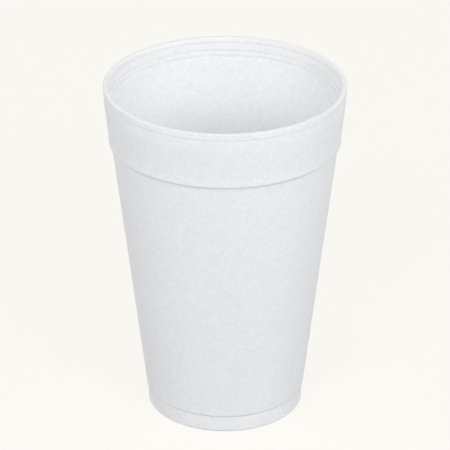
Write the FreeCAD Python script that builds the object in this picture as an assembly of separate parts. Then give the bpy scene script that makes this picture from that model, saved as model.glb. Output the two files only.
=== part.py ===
import FreeCAD, Part
import math
import os

# A foam drinking cup, open at the top and moulded in one piece.
#
# Millimetres and degrees, +Z up. The origin is the middle of the base, on the surface that the
# cup stands on. The whole cup is one closed outline in the (radius, height) plane, turned once
# round Z. The outline is a list of corners, each with the radius that rounds it off, and it runs
# up the outside, over the lip, down the inside and back along the underside.

# ---- Overall sizes -------------------------------------------------------------------------
cup_height = 138.2          # table to the top of the lip
rim_radius = 47.55          # outside of the lip, the widest place
foot_radius = 30.95         # outside of the foot, at the table

# ---- Wall and floor ------------------------------------------------------------------------
wall_thickness = 1.80       # of the tapered wall, square to its surface
floor_thickness = 2.80      # of the floor inside the foot ring
floor_corner_radius = 4.00  # sweep from the floor up into the wall, inside

# ---- Foot: the short band at the bottom, a little narrower than the wall above it -----------
foot_height = 7.10          # table to the middle of the step out to the wall
foot_step = 0.58            # how far the wall stands out from the foot
foot_step_height = 0.70     # height of the sloped step between them
foot_draft = 0.8            # lean of the foot band
foot_edge_radius = 0.90     # outer edge that meets the table
foot_line_radius = 0.10     # both corners of the step above the foot

# ---- Underside -----------------------------------------------------------------------------
foot_ring_width = 3.20      # flat ring that the cup stands on, to the start of the recess
recess_depth = 2.20         # the floor's underside is lifted this far off the table
recess_corner_radius = 1.00
gate_radius = 4.50          # round mark left where the mould was filled
gate_depth = 0.50
gate_edge_radius = 0.20

# ---- Collar: the thicker band round the top ------------------------------------------------
collar_height = 23.45       # lip top down to the collar's lower edge
collar_step = 1.02          # how far the lower edge stands out from the wall
collar_draft = 6.4          # lean of the collar's main face
collar_edge_radius = 0.55   # the lower edge itself
collar_root_radius = 0.35   # corner where the ledge meets the wall
skirt_height = 3.90         # height of the lowest part, which stands more upright
skirt_draft = 1.5           # lean of that part
skirt_bend_radius = 6.00    # bend between the collar's main face and the skirt

# ---- Rim: the uprighter part of the collar that takes a lid --------------------------------
rim_height = 6.60           # lip top down to where the collar starts to lean more
rim_draft = 1.8             # lean of the rim's outer face
rim_inner_draft = 9.3       # lean of its inner face
rim_bend_radius = 8.00
lip_thickness = 1.85        # across the flat top of the lip, with its rounded edges
lip_edge_radius = 0.40
lip_band_height = 2.30      # lip top down to the fine line under it, outside
inner_band_height = 1.75    # the same, inside

# ---- Stacking shoulder: the low ring between two fine grooves, where the tapered wall starts --
grooves_drop = 5.15         # lip top down to the upper groove
shoulder_height = 1.55      # face between the two grooves
groove_width = 0.65
groove_depth = 0.60
groove_edge_radius = 0.08   # all four corners of a groove

# ---- Fine lines: small steps in a face, whose upper side overhangs ---------------------------
line_step = 0.16            # of the line outside
inner_line_step = 0.12      # of the line inside
line_height = 0.40
line_radius = 0.15          # both corners of a step


def lean(degrees, height):
    """Sideways distance that a face leaning from upright covers over a height."""
    return math.tan(math.radians(degrees)) * height


# ---- Places that follow from the sizes -----------------------------------------------------
lip_edge_z = cup_height - lip_edge_radius
lip_band_z = cup_height - lip_band_height
inner_band_z = cup_height - inner_band_height
rim_low_z = cup_height - rim_height
rim_low_radius = rim_radius - line_step - lean(rim_draft, lip_edge_z - rim_low_z)
collar_low_z = cup_height - collar_height
skirt_top_z = collar_low_z + skirt_height
skirt_top_radius = rim_low_radius - lean(collar_draft, rim_low_z - skirt_top_z)
collar_low_radius = skirt_top_radius - lean(skirt_draft, skirt_height)

wall_low_radius = foot_radius + lean(foot_draft, foot_height) + foot_step
wall_high_radius = collar_low_radius - collar_step
wall_slope = (wall_high_radius - wall_low_radius) / (collar_low_z - foot_height)
wall_across = wall_thickness * math.hypot(1.0, wall_slope)

floor_z = recess_depth + floor_thickness
upper_groove_z = cup_height - grooves_drop
shoulder_top_z = upper_groove_z - groove_width
lower_groove_z = shoulder_top_z - shoulder_height
wall_top_z = lower_groove_z - groove_width


def inner_wall_radius(z):
    """Inside radius of the tapered wall."""
    return wall_low_radius + wall_slope * (z - foot_height) - wall_across


def lip_outer_radius(z):
    """Outside radius of the band under the lip, whose face leans from the lip's widest place."""
    return rim_radius - lean(rim_draft, lip_edge_z - z)


def lip_inner_radius(z):
    """Inside radius of the band under the lip."""
    return rim_radius - lip_thickness - lean(rim_inner_draft, lip_edge_z - z)


def foot_corners():
    """The foot band, from the table to the step under the wall."""
    return [
        (foot_radius, 0.0, foot_edge_radius),
        (wall_low_radius - foot_step, foot_height - foot_step_height / 2, foot_line_radius),
        (wall_low_radius, foot_height + foot_step_height / 2, foot_line_radius),
    ]


def collar_corners():
    """The ledge under the collar, its upright skirt and its leaning face."""
    return [
        (wall_high_radius, collar_low_z, collar_root_radius),
        (collar_low_radius, collar_low_z, collar_edge_radius),
        (skirt_top_radius, skirt_top_z, skirt_bend_radius),
        (rim_low_radius, rim_low_z, rim_bend_radius),
    ]


def lip_corners():
    """The outside line, the lip and the inside line."""
    outer_line_low_z = lip_band_z - line_height
    inner_line_low_z = inner_band_z - line_height
    return [
        (lip_outer_radius(outer_line_low_z) - line_step, outer_line_low_z, line_radius),
        (lip_outer_radius(lip_band_z), lip_band_z, line_radius),
        (lip_outer_radius(cup_height), cup_height, lip_edge_radius),
        (lip_inner_radius(cup_height), cup_height, lip_edge_radius),
        (lip_inner_radius(inner_band_z), inner_band_z, line_radius),
        (lip_inner_radius(inner_line_low_z) + inner_line_step, inner_line_low_z, line_radius),
    ]


def shoulder_corners():
    """The upper groove, the stacking shoulder's face and the lower groove."""
    above_radius = lip_inner_radius(upper_groove_z) + inner_line_step
    top_radius = lip_inner_radius(shoulder_top_z) + inner_line_step
    low_radius = inner_wall_radius(lower_groove_z)
    below_radius = inner_wall_radius(wall_top_z)
    return [
        (above_radius, upper_groove_z, groove_edge_radius),
        (above_radius + groove_depth, upper_groove_z, groove_edge_radius),
        (top_radius + groove_depth, shoulder_top_z, groove_edge_radius),
        (top_radius, shoulder_top_z, groove_edge_radius),
        (low_radius, lower_groove_z, groove_edge_radius),
        (low_radius + groove_depth, lower_groove_z, groove_edge_radius),
        (below_radius + groove_depth, wall_top_z, groove_edge_radius),
        (below_radius, wall_top_z, groove_edge_radius),
    ]


def floor_corners():
    """The foot of the inside wall and the middle of the floor."""
    return [
        (inner_wall_radius(floor_z), floor_z, floor_corner_radius),
        (0.0, floor_z, 0.0),
    ]


def underside_corners():
    """The gate mark, the recess and the ring that the cup stands on."""
    recess_radius = foot_radius - foot_ring_width
    return [
        (0.0, recess_depth + gate_depth, 0.0),
        (gate_radius, recess_depth + gate_depth, gate_edge_radius),
        (gate_radius, recess_depth, gate_edge_radius),
        (recess_radius, recess_depth, recess_corner_radius),
        (recess_radius, 0.0, recess_corner_radius / 2),
    ]


def rounded_outline(corners):
    """A closed wire of straight runs, joined by an arc at each corner that has a radius.

    Where two arcs need more than the run between them, both give way in proportion."""
    points = [FreeCAD.Vector(radius, 0, z) for radius, z, rounding in corners]
    count = len(points)
    to_next = [points[(i + 1) % count] - points[i] for i in range(count)]
    runs = [step.Length for step in to_next]
    ahead = [FreeCAD.Vector(step).normalize() for step in to_next]
    behind = [ahead[i - 1] * -1 for i in range(count)]
    half_angles = [ahead[i].getAngle(behind[i]) / 2 for i in range(count)]
    reach = [corners[i][2] / math.tan(half_angles[i]) for i in range(count)]

    def share(i, run):
        """How much of its reach corner i keeps on a run between it and the next corner."""
        wanted = reach[i] + reach[(i + 1) % count]
        return min(1.0, run / wanted) if wanted > 0 else 1.0

    kept = [share(i, runs[i]) for i in range(count)]
    reach = [reach[i] * min(kept[i - 1], kept[i]) for i in range(count)]

    starts = [points[i] + behind[i] * reach[i] for i in range(count)]
    ends = [points[i] + ahead[i] * reach[i] for i in range(count)]
    edges = []
    for i in range(count):
        if reach[i] > 0:
            arc_radius = reach[i] * math.tan(half_angles[i])
            to_centre = (ahead[i] + behind[i]).normalize()
            to_arc = arc_radius / math.sin(half_angles[i]) - arc_radius
            edges.append(Part.Arc(starts[i], points[i] + to_centre * to_arc, ends[i]).toShape())
        following = starts[(i + 1) % count]
        if ends[i].distanceToPoint(following) > 1e-6:
            edges.append(Part.LineSegment(ends[i], following).toShape())
    return Part.Wire(edges)


def cup():
    """The whole cup: the outline turned once round Z."""
    corners = foot_corners() + collar_corners() + lip_corners()
    corners += shoulder_corners() + floor_corners() + underside_corners()
    section = Part.Face(rounded_outline(corners))
    return section.revolve(FreeCAD.Vector(0, 0, 0), FreeCAD.Vector(0, 0, 1), 360)


os.makedirs("parts", exist_ok=True)
cup_solid = cup()
cup_solid.exportStep("parts/cup.step")
print("cup: valid %s, volume %.1f mm3" % (cup_solid.isValid(), cup_solid.Volume))
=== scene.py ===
import math

import bpy
import bmesh
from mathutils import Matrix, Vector


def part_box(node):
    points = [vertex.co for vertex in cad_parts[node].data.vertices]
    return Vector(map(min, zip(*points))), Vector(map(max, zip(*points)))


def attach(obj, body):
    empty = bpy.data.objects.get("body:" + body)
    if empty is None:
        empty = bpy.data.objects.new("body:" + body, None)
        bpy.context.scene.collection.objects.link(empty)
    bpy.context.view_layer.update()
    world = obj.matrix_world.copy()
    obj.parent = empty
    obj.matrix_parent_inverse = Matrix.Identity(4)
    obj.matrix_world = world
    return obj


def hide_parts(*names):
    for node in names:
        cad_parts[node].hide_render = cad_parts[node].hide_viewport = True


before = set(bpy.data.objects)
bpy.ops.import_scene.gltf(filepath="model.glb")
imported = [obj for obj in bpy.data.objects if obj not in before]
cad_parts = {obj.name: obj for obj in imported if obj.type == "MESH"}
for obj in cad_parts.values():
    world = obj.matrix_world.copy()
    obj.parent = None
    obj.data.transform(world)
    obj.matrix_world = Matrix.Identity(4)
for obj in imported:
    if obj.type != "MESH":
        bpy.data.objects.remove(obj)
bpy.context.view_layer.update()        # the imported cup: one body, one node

# A foam drinking cup, open at the top and moulded in one piece from white beads.
# Metres, +Z up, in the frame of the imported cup, whose foot stands on the floor at the origin.

MM = 0.001

# ---- Sizes of the cup ----------------------------------------------------------------------
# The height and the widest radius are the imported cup's own. The rest are its maker's sizes.
low_corner, high_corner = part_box("cup")
cup_height = high_corner.z
rim_radius = high_corner.x
foot_radius = 30.95 * MM

wall_thickness = 1.80 * MM
floor_thickness = 2.80 * MM
floor_corner_radius = 4.00 * MM

foot_height = 7.10 * MM
foot_step = 0.58 * MM
foot_step_height = 0.70 * MM
foot_draft = 0.8
foot_edge_radius = 0.90 * MM
foot_line_radius = 0.10 * MM

foot_ring_width = 3.20 * MM
recess_depth = 2.20 * MM
recess_corner_radius = 1.00 * MM
gate_radius = 4.50 * MM
gate_depth = 0.50 * MM
gate_edge_radius = 0.20 * MM

collar_height = 23.45 * MM
collar_step = 1.02 * MM
collar_draft = 6.4
collar_edge_radius = 0.55 * MM
collar_root_radius = 0.35 * MM
skirt_height = 3.90 * MM
skirt_draft = 1.5
skirt_bend_radius = 6.00 * MM

rim_height = 6.60 * MM
rim_draft = 1.8
rim_inner_draft = 9.3
rim_bend_radius = 8.00 * MM
lip_thickness = 1.85 * MM
lip_edge_radius = 0.40 * MM
lip_band_height = 2.30 * MM
inner_band_height = 1.75 * MM

grooves_drop = 5.15 * MM
shoulder_height = 1.55 * MM
groove_width = 0.65 * MM
groove_depth = 0.60 * MM
groove_edge_radius = 0.08 * MM

line_step = 0.16 * MM
inner_line_step = 0.12 * MM
line_height = 0.40 * MM
line_radius = 0.15 * MM


# ---- The cup's outline ---------------------------------------------------------------------
def lean(degrees, height):
    """Sideways distance that a face leaning from upright covers over a height."""
    return math.tan(math.radians(degrees)) * height


lip_edge_z = cup_height - lip_edge_radius
lip_band_z = cup_height - lip_band_height
inner_band_z = cup_height - inner_band_height
rim_low_z = cup_height - rim_height
rim_low_radius = rim_radius - line_step - lean(rim_draft, lip_edge_z - rim_low_z)
collar_low_z = cup_height - collar_height
skirt_top_z = collar_low_z + skirt_height
skirt_top_radius = rim_low_radius - lean(collar_draft, rim_low_z - skirt_top_z)
collar_low_radius = skirt_top_radius - lean(skirt_draft, skirt_height)

wall_low_radius = foot_radius + lean(foot_draft, foot_height) + foot_step
wall_high_radius = collar_low_radius - collar_step
wall_slope = (wall_high_radius - wall_low_radius) / (collar_low_z - foot_height)
wall_across = wall_thickness * math.hypot(1.0, wall_slope)

floor_z = recess_depth + floor_thickness
upper_groove_z = cup_height - grooves_drop
shoulder_top_z = upper_groove_z - groove_width
lower_groove_z = shoulder_top_z - shoulder_height
wall_top_z = lower_groove_z - groove_width


def inner_wall_radius(z):
    """Inside radius of the tapered wall."""
    return wall_low_radius + wall_slope * (z - foot_height) - wall_across


def lip_outer_radius(z):
    """Outside radius of the band under the lip, whose face leans from the lip's widest place."""
    return rim_radius - lean(rim_draft, lip_edge_z - z)


def lip_inner_radius(z):
    """Inside radius of the band under the lip."""
    return rim_radius - lip_thickness - lean(rim_inner_draft, lip_edge_z - z)


def outline_corners():
    """Corners (radius, height, rounding) from the underside's middle, up the outside, over the lip
    and down the inside to the floor's middle."""
    recess_radius = foot_radius - foot_ring_width
    underside = [
        (0.0, recess_depth + gate_depth, 0.0),
        (gate_radius, recess_depth + gate_depth, gate_edge_radius),
        (gate_radius, recess_depth, gate_edge_radius),
        (recess_radius, recess_depth, recess_corner_radius),
        (recess_radius, 0.0, recess_corner_radius / 2),
    ]
    foot = [
        (foot_radius, 0.0, foot_edge_radius),
        (wall_low_radius - foot_step, foot_height - foot_step_height / 2, foot_line_radius),
        (wall_low_radius, foot_height + foot_step_height / 2, foot_line_radius),
    ]
    collar = [
        (wall_high_radius, collar_low_z, collar_root_radius),
        (collar_low_radius, collar_low_z, collar_edge_radius),
        (skirt_top_radius, skirt_top_z, skirt_bend_radius),
        (rim_low_radius, rim_low_z, rim_bend_radius),
    ]
    outer_line_low_z = lip_band_z - line_height
    inner_line_low_z = inner_band_z - line_height
    lip = [
        (lip_outer_radius(outer_line_low_z) - line_step, outer_line_low_z, line_radius),
        (lip_outer_radius(lip_band_z), lip_band_z, line_radius),
        (lip_outer_radius(cup_height), cup_height, lip_edge_radius),
        (lip_inner_radius(cup_height), cup_height, lip_edge_radius),
        (lip_inner_radius(inner_band_z), inner_band_z, line_radius),
        (lip_inner_radius(inner_line_low_z) + inner_line_step, inner_line_low_z, line_radius),
    ]
    above_radius = lip_inner_radius(upper_groove_z) + inner_line_step
    top_radius = lip_inner_radius(shoulder_top_z) + inner_line_step
    low_radius = inner_wall_radius(lower_groove_z)
    below_radius = inner_wall_radius(wall_top_z)
    shoulder = [
        (above_radius, upper_groove_z, groove_edge_radius),
        (above_radius + groove_depth, upper_groove_z, groove_edge_radius),
        (top_radius + groove_depth, shoulder_top_z, groove_edge_radius),
        (top_radius, shoulder_top_z, groove_edge_radius),
        (low_radius, lower_groove_z, groove_edge_radius),
        (low_radius + groove_depth, lower_groove_z, groove_edge_radius),
        (below_radius + groove_depth, wall_top_z, groove_edge_radius),
        (below_radius, wall_top_z, groove_edge_radius),
    ]
    floor = [
        (inner_wall_radius(floor_z), floor_z, floor_corner_radius),
        (0.0, floor_z, 0.0),
    ]
    return underside + foot + collar + lip + shoulder + floor


# ---- Small helpers for node trees ------------------------------------------------------------
def node(tree, kind, inputs=None, **settings):
    """A node of a kind, with its settings and its inputs: a value, or another node's output."""
    made = tree.nodes.new(kind)
    for name, value in settings.items():
        setattr(made, name, value)
    for name, value in (inputs or {}).items():
        socket = made.inputs[name]
        if isinstance(value, bpy.types.NodeSocket):
            tree.links.new(value, socket)
        else:
            socket.default_value = value
    return made


def math_node(tree, operation, first, second=0.0):
    """The output of a Math node."""
    return node(tree, "ShaderNodeMath", {0: first, 1: second}, operation=operation).outputs[0]


def whole_math(tree, operation, first, second):
    """The output of an Integer Math node."""
    inputs = {0: first, 1: second}
    return node(tree, "FunctionNodeIntegerMath", inputs, operation=operation).outputs[0]


# ---- The turned wall, in Geometry Nodes ------------------------------------------------------
def turned_shell_tree():
    """Rounds the corners of an outline in the XZ plane, divides its long runs, and turns it once
    round Z into a closed shell with a slightly uneven skin."""
    tree = bpy.data.node_groups.new("turned shell", "GeometryNodeTree")
    face = tree.interface
    face.new_socket("Outline", in_out="INPUT", socket_type="NodeSocketGeometry")
    face.new_socket("Points per corner", in_out="INPUT", socket_type="NodeSocketInt")
    face.new_socket("Longest run", in_out="INPUT", socket_type="NodeSocketFloat")
    face.new_socket("Steps round", in_out="INPUT", socket_type="NodeSocketInt")
    face.new_socket("Unevenness depth", in_out="INPUT", socket_type="NodeSocketFloat")
    face.new_socket("Unevenness size", in_out="INPUT", socket_type="NodeSocketFloat")
    face.new_socket("Seed", in_out="INPUT", socket_type="NodeSocketFloat")
    face.new_socket("Foam", in_out="INPUT", socket_type="NodeSocketMaterial")
    face.new_socket("Mesh", in_out="OUTPUT", socket_type="NodeSocketGeometry")
    given = tree.nodes.new("NodeGroupInput").outputs

    # the outline: corners rounded by their own radius, then long runs divided
    curve = node(tree, "GeometryNodeMeshToCurve", {"Mesh": given["Outline"]}).outputs["Curve"]
    rounding = node(tree, "GeometryNodeInputNamedAttribute", {
        "Name": "rounding",
    }).outputs["Attribute"]
    rounded = node(tree, "GeometryNodeFilletCurve", {
        "Curve": curve, "Count": given["Points per corner"], "Radius": rounding,
        "Limit Radius": True,
    }, mode="POLY").outputs["Curve"]
    following = node(tree, "GeometryNodeOffsetPointInCurve", {"Offset": 1}).outputs["Point Index"]
    position = node(tree, "GeometryNodeInputPosition").outputs["Position"]
    next_position = node(tree, "GeometryNodeFieldAtIndex", {
        "Index": following, "Value": position,
    }, data_type="FLOAT_VECTOR", domain="POINT").outputs["Value"]
    run = node(tree, "ShaderNodeVectorMath", {0: position, 1: next_position}, operation="DISTANCE")
    cuts = math_node(tree, "DIVIDE", run.outputs["Value"], given["Longest run"])
    cuts = math_node(tree, "FLOOR", cuts)
    divided = node(tree, "GeometryNodeSubdivideCurve", {
        "Curve": rounded, "Cuts": cuts,
    }).outputs["Curve"]

    # a sheet with one row of points for each point of the outline and one column for each step
    count = node(tree, "GeometryNodeAttributeDomainSize", {"Geometry": divided}, component="CURVE")
    columns = whole_math(tree, "ADD", given["Steps round"], 1)
    sheet = node(tree, "GeometryNodeMeshGrid", {
        "Vertices X": count.outputs["Point Count"], "Vertices Y": columns,
    }).outputs["Mesh"]
    index = node(tree, "GeometryNodeInputIndex").outputs["Index"]
    row = whole_math(tree, "DIVIDE_FLOOR", index, columns)
    column = whole_math(tree, "MODULO", index, columns)

    # each point goes to its place on the outline, turned by its column's angle
    place = node(tree, "GeometryNodeSampleIndex", {
        "Geometry": divided, "Value": position, "Index": row,
    }, data_type="FLOAT_VECTOR", domain="POINT").outputs["Value"]
    turn = math_node(tree, "DIVIDE", column, given["Steps round"])
    angle = math_node(tree, "MULTIPLY", turn, math.tau)
    turned = node(tree, "ShaderNodeVectorRotate", {"Vector": place, "Angle": angle},
                  rotation_type="Z_AXIS")
    placed = node(tree, "GeometryNodeSetPosition", {
        "Geometry": sheet, "Position": turned.outputs["Vector"],
    }).outputs["Geometry"]
    merged = node(tree, "GeometryNodeMergeByDistance", {
        "Geometry": placed, "Distance": 0.002 * MM,
    }).outputs["Geometry"]
    closed = node(tree, "GeometryNodeFlipFaces", {"Mesh": merged}).outputs["Mesh"]

    # the skin sinks a little, unevenly, and not at all where the cup stands
    moved = node(tree, "ShaderNodeVectorMath", {0: position, 1: given["Seed"]}, operation="ADD")
    scale = math_node(tree, "DIVIDE", 1.0, given["Unevenness size"])
    waves = node(tree, "ShaderNodeTexNoise", {
        "Vector": moved.outputs["Vector"], "Scale": scale, "Detail": 1.0,
    }).outputs[0]
    height = node(tree, "ShaderNodeSeparateXYZ", {"Vector": position}).outputs["Z"]
    above_foot = node(tree, "ShaderNodeMapRange", {
        "Value": height, "From Min": 0.0, "From Max": 8 * MM,
    }, interpolation_type="SMOOTHSTEP").outputs["Result"]
    sunk = math_node(tree, "MULTIPLY", waves, given["Unevenness depth"])
    sunk = math_node(tree, "MULTIPLY", sunk, -1.0)
    sunk = math_node(tree, "MULTIPLY", sunk, above_foot)
    normal = node(tree, "GeometryNodeInputNormal").outputs["Normal"]
    offset = node(tree, "ShaderNodeVectorMath", {0: normal, "Scale": sunk}, operation="SCALE")
    uneven = node(tree, "GeometryNodeSetPosition", {
        "Geometry": closed, "Offset": offset.outputs["Vector"],
    }).outputs["Geometry"]

    smooth = node(tree, "GeometryNodeSetShadeSmooth", {"Geometry": uneven}).outputs["Geometry"]
    real = node(tree, "GeometryNodeRealizeInstances", {"Geometry": smooth}).outputs["Geometry"]
    painted = node(tree, "GeometryNodeSetMaterial", {"Geometry": real, "Material": given["Foam"]})
    node(tree, "NodeGroupOutput", {"Mesh": painted.outputs["Geometry"]})
    return tree


def set_input(modifier, name, value):
    """Sets a modifier's input by its socket's identifier."""
    for item in modifier.node_group.interface.items_tree:
        if item.item_type == "SOCKET" and item.in_out == "INPUT" and item.name == name:
            modifier[item.identifier] = value
            return
    raise KeyError(name)


def outline_object(corners):
    """An open chain of corners in the XZ plane, with each corner's rounding as an attribute."""
    mesh = bpy.data.meshes.new("cup_outline")
    points = [(radius, 0.0, z) for radius, z, rounding in corners]
    mesh.from_pydata(points, [(i, i + 1) for i in range(len(points) - 1)], [])
    attribute = mesh.attributes.new("rounding", "FLOAT", "POINT")
    attribute.data.foreach_set("value", [rounding for radius, z, rounding in corners])
    made = bpy.data.objects.new("cup_outline", mesh)
    bpy.context.scene.collection.objects.link(made)
    return made


def plain_mesh(source, name, material):
    """A new object that holds a source object's evaluated mesh in one material; the source is
    removed."""
    graph = bpy.context.evaluated_depsgraph_get()
    mesh = bpy.data.meshes.new_from_object(source.evaluated_get(graph), depsgraph=graph)
    mesh.name = name
    mesh.materials.clear()
    mesh.materials.append(material)
    mesh.polygons.foreach_set("material_index", [0] * len(mesh.polygons))
    made = bpy.data.objects.new(name, mesh)
    bpy.context.scene.collection.objects.link(made)
    bpy.data.objects.remove(source)
    return made


def make_cup(foam):
    """The whole cup, as one closed mesh."""
    outline = outline_object(outline_corners())
    shell = outline.modifiers.new("turned shell", "NODES")
    shell.node_group = turned_shell_tree()
    set_input(shell, "Points per corner", 6)
    set_input(shell, "Longest run", 1.6 * MM)
    set_input(shell, "Steps round", 256)
    set_input(shell, "Unevenness depth", 0.06 * MM)
    set_input(shell, "Unevenness size", 9 * MM)
    set_input(shell, "Seed", 3.7)
    set_input(shell, "Foam", foam)
    outline.modifiers.new("weighted normals", "WEIGHTED_NORMAL")
    return plain_mesh(outline, "foam_cup", foam)


# ---- Finishes --------------------------------------------------------------------------------
def new_material(name):
    """An empty node material and its output node."""
    material = bpy.data.materials.new(name)
    material.use_nodes = True
    material.node_tree.nodes.clear()
    output = material.node_tree.nodes.new("ShaderNodeOutputMaterial")
    return material, material.node_tree, output


def painted_shade_lines(tree, place):
    """Painted shade, 0 to 1: on the lip, and along the fine lines and the steps at the collar and
    the foot, where shade falls. Each edge is a ring: its radius, height, half width and strength."""
    rings = (
        (rim_radius, cup_height, 1.60 * MM, 0.3),
        (lip_inner_radius(inner_band_z), inner_band_z - line_height / 2, 0.40 * MM, 0.5),
        (lip_outer_radius(lip_band_z), lip_band_z - line_height / 2, 0.35 * MM, 0.5),
        (collar_low_radius, collar_low_z + collar_edge_radius / 2, 0.70 * MM, 0.7),
        (wall_low_radius, foot_height + foot_step_height / 2, 0.45 * MM, 0.7),
    )
    parts = node(tree, "ShaderNodeSeparateXYZ", {"Vector": place}).outputs
    flat = node(tree, "ShaderNodeCombineXYZ", {"X": parts["X"], "Y": parts["Y"]}).outputs["Vector"]
    radius = node(tree, "ShaderNodeVectorMath", {0: flat}, operation="LENGTH").outputs["Value"]
    spot = node(tree, "ShaderNodeCombineXYZ", {"X": radius, "Z": parts["Z"]}).outputs["Vector"]
    painted_shade = 0.0
    for ring_radius, ring_z, half_width, strength in rings:
        away = node(tree, "ShaderNodeVectorMath", {0: spot, 1: (ring_radius, 0.0, ring_z)},
                    operation="DISTANCE").outputs["Value"]
        line = node(tree, "ShaderNodeMapRange", {
            "Value": away, "From Min": 0.0, "From Max": half_width,
            "To Min": strength, "To Max": 0.0,
        }, interpolation_type="SMOOTHSTEP").outputs["Result"]
        painted_shade = math_node(tree, "ADD", line, painted_shade)
    return painted_shade


def foam_material():
    """White moulded bead foam: flattened beads, soft creases between them and a few pinholes."""
    drift_size = 5 * MM       # how far apart the pushes on the bead pattern change
    drift_spread = 1.6 * MM   # from a full push one way to a full push the other way
    bead_size = 2.4 * MM
    hole_spacing = 1.5 * MM
    cloud_size = 1.3 * MM
    cell_size = 0.4 * MM
    material, tree, output = new_material("white_bead_foam")
    place = node(tree, "ShaderNodeTexCoord").outputs["Object"]

    # beads, a little uneven in size because their pattern is pushed about
    drift = node(tree, "ShaderNodeTexNoise", {
        "Vector": place, "Scale": 1 / drift_size, "Detail": 1.0,
    })
    pushed = node(tree, "ShaderNodeVectorMath", {0: drift.outputs["Color"], 1: (0.5, 0.5, 0.5)},
                  operation="SUBTRACT").outputs[0]
    pushed = node(tree, "ShaderNodeVectorMath", {0: pushed, "Scale": drift_spread},
                  operation="SCALE").outputs[0]
    moved = node(tree, "ShaderNodeVectorMath", {0: place, 1: pushed}, operation="ADD").outputs[0]
    bead_scale = 1 / bead_size
    edge = node(tree, "ShaderNodeTexVoronoi", {"Vector": moved, "Scale": bead_scale},
                feature="DISTANCE_TO_EDGE").outputs["Distance"]
    bead = node(tree, "ShaderNodeTexVoronoi", {"Vector": moved, "Scale": bead_scale}, feature="F1")
    bead_shade = node(tree, "ShaderNodeSeparateColor", {"Color": bead.outputs["Color"]}).outputs[0]
    dome = node(tree, "ShaderNodeMapRange", {"Value": edge, "From Min": 0.0, "From Max": 0.22},
                interpolation_type="SMOOTHSTEP").outputs["Result"]

    # pinholes, at some of the places where beads meet
    hole = node(tree, "ShaderNodeTexVoronoi", {"Vector": place, "Scale": 1 / hole_spacing},
                feature="F1")
    hole_kept = node(tree, "ShaderNodeSeparateColor", {"Color": hole.outputs["Color"]}).outputs[1]
    hole_kept = math_node(tree, "GREATER_THAN", hole_kept, 0.7)
    hole_depth = node(tree, "ShaderNodeMapRange", {
        "Value": hole.outputs["Distance"], "From Min": 0.08, "From Max": 0.20,
        "To Min": 1.0, "To Max": 0.0,
    }, interpolation_type="SMOOTHSTEP").outputs["Result"]
    hole_depth = math_node(tree, "MULTIPLY", hole_depth, hole_kept)

    # each bead is its own shade of white and clouded a little; its creases and pinholes are
    # darkened with painted shade
    clouds = node(tree, "ShaderNodeTexNoise", {
        "Vector": place, "Scale": 1 / cloud_size, "Detail": 2.0,
    })
    shades = (
        (bead_shade, 0.985, 1.0),
        (dome, 0.982, 1.0),
        (clouds.outputs[0], 0.905, 1.045),
        (hole_depth, 1.0, 0.93),
        # painted shade on the lip and along the fine lines and the collar and foot steps
        (painted_shade_lines(tree, place), 1.0, 0.80),
    )
    shade = 1.0
    for value, at_none, at_full in shades:
        ramp = node(tree, "ShaderNodeMapRange", {
            "Value": value, "To Min": at_none, "To Max": at_full,
        })
        shade = math_node(tree, "MULTIPLY", ramp.outputs["Result"], shade)
    colour = node(tree, "ShaderNodeVectorMath", {0: (0.940, 0.946, 0.958), "Scale": shade},
                  operation="SCALE").outputs[0]

    # relief: domed beads, pinholes and the fine cells inside the beads
    cells = node(tree, "ShaderNodeTexNoise", {
        "Vector": place, "Scale": 1 / cell_size, "Detail": 2.0,
    })
    relief = math_node(tree, "ADD", dome, math_node(tree, "MULTIPLY", cells.outputs[0], 0.25))
    relief = math_node(tree, "SUBTRACT", relief, hole_depth)
    bump = node(tree, "ShaderNodeBump", {"Height": relief, "Strength": 0.3, "Distance": 0.04 * MM})

    skin = node(tree, "ShaderNodeBsdfPrincipled", {
        "Base Color": colour, "Normal": bump.outputs["Normal"], "Roughness": 0.65,
        "Specular IOR Level": 0.2, "Subsurface Weight": 0.7, "Subsurface Scale": 1.2 * MM,
    })
    skin.inputs["Subsurface Radius"].default_value = (1.0, 1.0, 1.0)
    tree.links.new(skin.outputs["BSDF"], output.inputs["Surface"])
    return material


PAPER = (0.939, 0.930, 0.888, 1.0)   # warm white of the floor and the backdrop


def seen_or_mirrored(tree):
    """1 for what the camera sees straight, in a gloss or through glass, and 0 for other light."""
    path = node(tree, "ShaderNodeLightPath").outputs
    seen = math_node(tree, "MAXIMUM", path["Is Camera Ray"], path["Is Glossy Ray"])
    return math_node(tree, "MAXIMUM", seen, path["Is Transmission Ray"])


def floor_material():
    """Pale floor. It shows its paleness to the camera and keeps the cup's shadow, and it throws
    only a soft light back on the cup. From below it is clear."""
    material, tree, output = new_material("pale_floor")
    seen = seen_or_mirrored(tree)
    matt = node(tree, "ShaderNodeBsdfDiffuse", {"Color": (0.55, 0.55, 0.56, 1.0)}).outputs[0]
    lit = node(tree, "ShaderNodeBsdfDiffuse", {"Color": (0.130, 0.129, 0.123, 1.0)}).outputs[0]
    # the glow and the lamps' light on the floor together come close to the backdrop
    glow = node(tree, "ShaderNodeEmission", {"Color": PAPER, "Strength": 0.896}).outputs[0]
    shown = node(tree, "ShaderNodeAddShader", {0: lit, 1: glow}).outputs[0]
    above = node(tree, "ShaderNodeMixShader", {0: seen, 1: matt, 2: shown}).outputs[0]
    clear = node(tree, "ShaderNodeBsdfTransparent").outputs[0]
    below = node(tree, "ShaderNodeNewGeometry").outputs["Backfacing"]
    both = node(tree, "ShaderNodeMixShader", {0: below, 1: above, 2: clear}).outputs[0]
    tree.links.new(both, output.inputs["Surface"])
    return material


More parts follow.
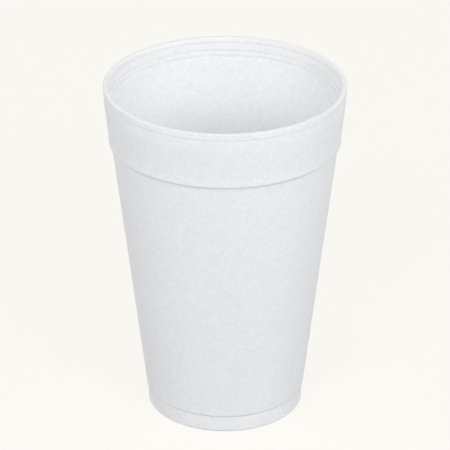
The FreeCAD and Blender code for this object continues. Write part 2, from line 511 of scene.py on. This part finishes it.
# ---- Floor, light and camera -------------------------------------------------------------------
def make_floor(material):
    """A wide round floor, a hair below the cup's foot."""
    mesh = bpy.data.meshes.new("floor")
    shape = bmesh.new()
    bmesh.ops.create_circle(shape, cap_ends=True, segments=96, radius=6.0)
    shape.to_mesh(mesh)
    shape.free()
    floor = bpy.data.objects.new("floor", mesh)
    gap = 0.02 * MM
    floor.location.z = low_corner.z - gap
    mesh.materials.append(material)
    bpy.context.scene.collection.objects.link(floor)


def make_world():
    """Even soft light from all round, and a pale backdrop above the floor's edge."""
    world = bpy.data.worlds.new("studio")
    world.use_nodes = True
    tree = world.node_tree
    tree.nodes.clear()
    seen = seen_or_mirrored(tree)
    light = node(tree, "ShaderNodeBackground", {"Color": (1.0, 1.0, 1.0, 1.0), "Strength": 0.19})
    shown = node(tree, "ShaderNodeBackground", {"Color": PAPER, "Strength": 1.0})
    both = node(tree, "ShaderNodeMixShader", {0: seen, 1: light.outputs[0], 2: shown.outputs[0]})
    node(tree, "ShaderNodeOutputWorld", {"Surface": both.outputs[0]})
    bpy.context.scene.world = world


def soft_lamp(name, azimuth, elevation, power):
    """A square soft lamp that faces the middle of the cup. Azimuth 0 is the camera's side, and
    90 is its right."""
    distance = 1.7
    turn, rise = math.radians(azimuth), math.radians(elevation)
    level = math.cos(rise)
    away = Vector((math.sin(turn) * level, -math.cos(turn) * level, math.sin(rise)))
    data = bpy.data.lights.new(name, "AREA")
    data.shape = "SQUARE"
    data.size = 1.0
    data.energy = power
    data.color = (0.985, 0.992, 1.0)
    lamp = bpy.data.objects.new(name, data)
    lamp.location = Vector((0, 0, cup_height / 2)) + away * distance
    lamp.rotation_mode = "QUATERNION"
    lamp.rotation_quaternion = (-away).to_track_quat("-Z", "Y")
    lamp.visible_camera = False
    bpy.context.scene.collection.objects.link(lamp)


def make_camera():
    """A long lens, looking down on the cup from the front."""
    elevation = math.radians(26.5)
    distance = 27.1 * rim_radius
    aim = Vector((0.0, 0.0, 0.556 * cup_height))
    back = Vector((0.0, -math.cos(elevation), math.sin(elevation)))
    data = bpy.data.cameras.new("camera")
    data.sensor_width = 36.0
    data.lens = 259.5
    data.clip_start = 0.1
    data.clip_end = 50.0
    camera = bpy.data.objects.new("camera", data)
    camera.location = aim + back * distance
    camera.rotation_mode = "QUATERNION"
    camera.rotation_quaternion = (-back).to_track_quat("-Z", "Y")
    bpy.context.scene.collection.objects.link(camera)
    bpy.context.scene.camera = camera


# ---- Making the scene --------------------------------------------------------------------------
bpy.context.scene.view_settings.view_transform = "Standard"

cup = make_cup(foam_material())
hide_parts("cup")
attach(cup, "root")

make_floor(floor_material())
make_world()
soft_lamp("front_left_lamp", azimuth=-22, elevation=34, power=9.1)
soft_lamp("front_right_lamp", azimuth=26, elevation=34, power=11.3)
soft_lamp("left_lamp", azimuth=-80, elevation=34, power=6.9)
soft_lamp("right_lamp", azimuth=80, elevation=34, power=6.8)
soft_lamp("back_left_lamp", azimuth=-140, elevation=25, power=4.5)
soft_lamp("back_right_lamp", azimuth=140, elevation=25, power=4.5)
make_camera()
